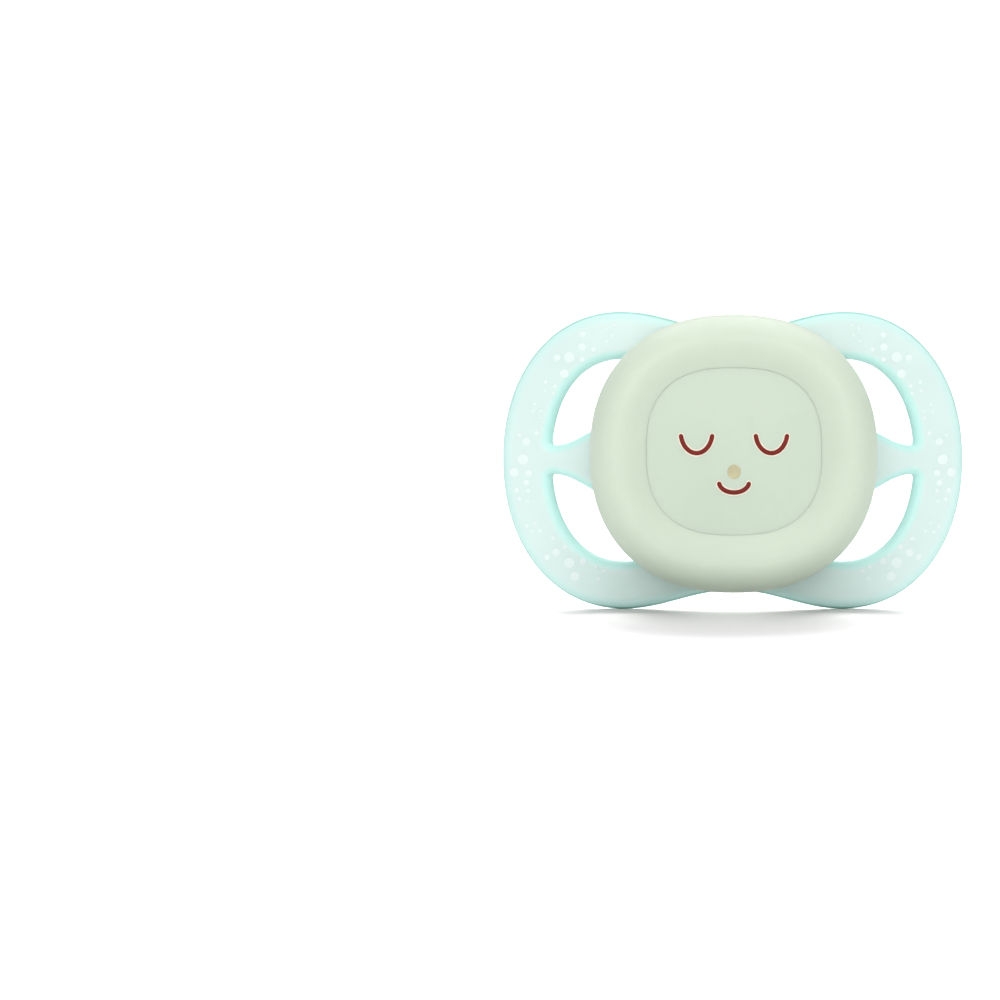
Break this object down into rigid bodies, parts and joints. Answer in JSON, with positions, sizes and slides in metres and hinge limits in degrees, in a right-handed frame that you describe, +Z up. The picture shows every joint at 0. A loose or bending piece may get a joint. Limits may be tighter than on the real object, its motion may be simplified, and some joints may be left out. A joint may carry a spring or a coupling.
{
  "type": "baby pacifier",
  "caption": "Baby pacifier with a butterfly-shaped, bowed shield with air openings, a hollow silicone nipple and a rounded-square button with a recessed face plate.",
  "frame": {"origin": "the middle of the object's width and depth, at the height of the lowest point of the shield's two lower lobes", "axes": "+Z up; the button's face plate faces -Y and the nipple points to +Y; +X to the right as seen from the button, along the shield's length"},
  "size_m": [0.058, 0.04, 0.0375],
  "materials": {
    "shield_plastic": "clear mint polypropylene, glossy, milky where thick",
    "nipple_silicone": "clear food-grade silicone, satin",
    "plug_plastic": "natural polypropylene, fine matt",
    "button_plastic": "pale green pigmented plastic, satin",
    "face_plastic": "pale green pigmented plastic, smooth satin"
  },
  "bodies": {
    "root": {"shield": "shield_plastic", "nipple": "nipple_silicone", "retaining_plug": "plug_plastic", "button": "button_plastic", "face_plate": "face_plastic"}
  },
  "joints": []
}
